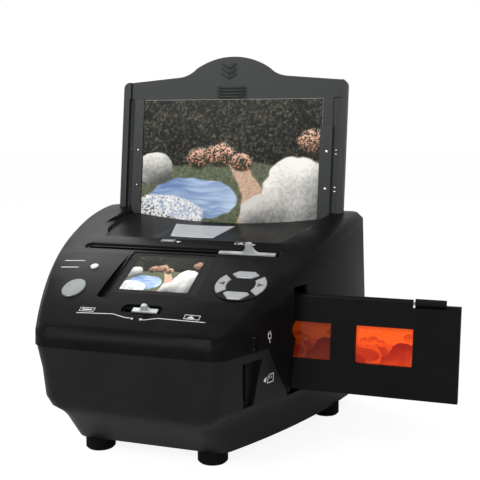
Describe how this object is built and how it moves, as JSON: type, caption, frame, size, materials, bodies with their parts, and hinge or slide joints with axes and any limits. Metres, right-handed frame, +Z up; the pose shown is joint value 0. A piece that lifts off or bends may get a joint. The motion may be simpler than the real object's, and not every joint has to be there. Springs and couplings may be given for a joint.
{
  "type": "film negative scanner",
  "caption": "Desktop scanner for film negatives, slides and paper prints: sloping display panel, raised photo tray in the top, film holder through the side.",
  "frame": {"origin": "on the table under the scanner, on its plane of symmetry, midway between the front and the rear feet", "axes": "+X to the scanner's right, +Y to its rear, +Z up"},
  "size_m": [0.3061, 0.2122, 0.2733],
  "materials": {
    "cover_plastic": "satin",
    "base_plastic": "satin",
    "tray_plastic": "matt",
    "holder_plastic": "matt",
    "mount_plastic": "matt",
    "foot_rubber": "matt",
    "screw_steel": "brushed",
    "film": "glossy",
    "print_paper": "glossy",
    "silver_plastic": "satin silver",
    "dark_gloss": "glossy",
    "display_glass": "clear",
    "display": "glossy",
    "board_green": "glossy",
    "switch_black": "matt",
    "lamp_lens": "clear",
    "lamp": "glossy",
    "lens_glass": "clear",
    "diffuser_white": "matt",
    "inner_black": "matt",
    "socket_steel": "brushed"
  },
  "bodies": {
    "scanner": {"upper_cover": "cover_plastic", "lower_base": "base_plastic", "foot_front_left": "foot_rubber", "foot_front_right": "foot_rubber", "foot_rear_left": "foot_rubber", "foot_rear_right": "foot_rubber", "casing_screws": "screw_steel", "lcd_window": "display_glass", "lcd_module": "display", "keypad_disc": "dark_gloss", "tact_switches": "switch_black", "indicator_lens": "lamp_lens", "indicator_led": "lamp", "control_board": "board_green", "carriage_rod": "screw_steel", "light_hood": "inner_black", "lens_barrel": "inner_black", "lens_element": "lens_glass", "sensor_board": "board_green", "film_rail_upper": "inner_black", "film_rail_lower": "inner_black", "tray_rail_left": "inner_black", "tray_rail_right": "inner_black", "print_light_left": "board_green", "print_light_right": "board_green", "main_board": "board_green", "usb_socket": "socket_steel", "card_socket": "inner_black"},
    "photo_tray": {"tray_frame": "tray_plastic", "photo_guide_left": "tray_plastic", "photo_guide_right": "tray_plastic", "photo_print": "print_paper"},
    "film_holder": {"holder_base": "holder_plastic", "holder_lid": "holder_plastic", "holder_pin": "screw_steel", "slide_mount_1": "mount_plastic", "slide_mount_2": "mount_plastic", "slide_mount_3": "mount_plastic", "film_chip_1": "film", "film_chip_2": "film", "film_chip_3": "film"},
    "light_slider": {"light_lever": "silver_plastic", "light_carriage": "inner_black", "light_diffuser": "diffuser_white", "backlight_board": "board_green"},
    "focus_slider": {"focus_knob": "silver_plastic", "focus_carriage": "inner_black", "close_up_lens": "lens_glass"},
    "scan_key": {"scan_button": "silver_plastic"},
    "mode_key": {"mode_button": "silver_plastic"},
    "enter_key": {"enter_button": "silver_plastic"},
    "left_key": {"left_button": "silver_plastic"},
    "right_key": {"right_button": "silver_plastic"}
  },
  "joints": [
    {"name": "photo_tray_slide", "type": "slide", "parent": "scanner", "child": "photo_tray", "axis": [0, 0.1271, 0.9919], "range_m": [-0.1, 0.018]},
    {"name": "film_holder_slide", "type": "slide", "parent": "scanner", "child": "film_holder", "axis": [1, 0, 0], "range_m": [-0.146, 0.06]},
    {"name": "light_lever_slide", "type": "slide", "parent": "scanner", "child": "light_slider", "axis": [1, 0, 0], "range_m": [-0.0575, 0]},
    {"name": "focus_knob_slide", "type": "slide", "parent": "scanner", "child": "focus_slider", "axis": [1, 0, 0], "range_m": [-0.006, 0]},
    {"name": "scan_press", "type": "slide", "parent": "scanner", "child": "scan_key", "axis": [0, 0.4188, -0.9081], "range_m": [0, 0.0008], "stiffness_N_per_m": 400, "springref_m": -0.0008},
    {"name": "mode_press", "type": "slide", "parent": "scanner", "child": "mode_key", "axis": [0, 0.3871, -0.922], "range_m": [0, 0.0008], "stiffness_N_per_m": 400, "springref_m": -0.0008},
    {"name": "enter_press", "type": "slide", "parent": "scanner", "child": "enter_key", "axis": [0, 0.3871, -0.922], "range_m": [0, 0.0008], "stiffness_N_per_m": 400, "springref_m": -0.0008},
    {"name": "left_press", "type": "slide", "parent": "scanner", "child": "left_key", "axis": [0, 0.3871, -0.922], "range_m": [0, 0.0008], "stiffness_N_per_m": 400, "springref_m": -0.0008},
    {"name": "right_press", "type": "slide", "parent": "scanner", "child": "right_key", "axis": [0, 0.3871, -0.922], "range_m": [0, 0.0008], "stiffness_N_per_m": 400, "springref_m": -0.0008}
  ]
}
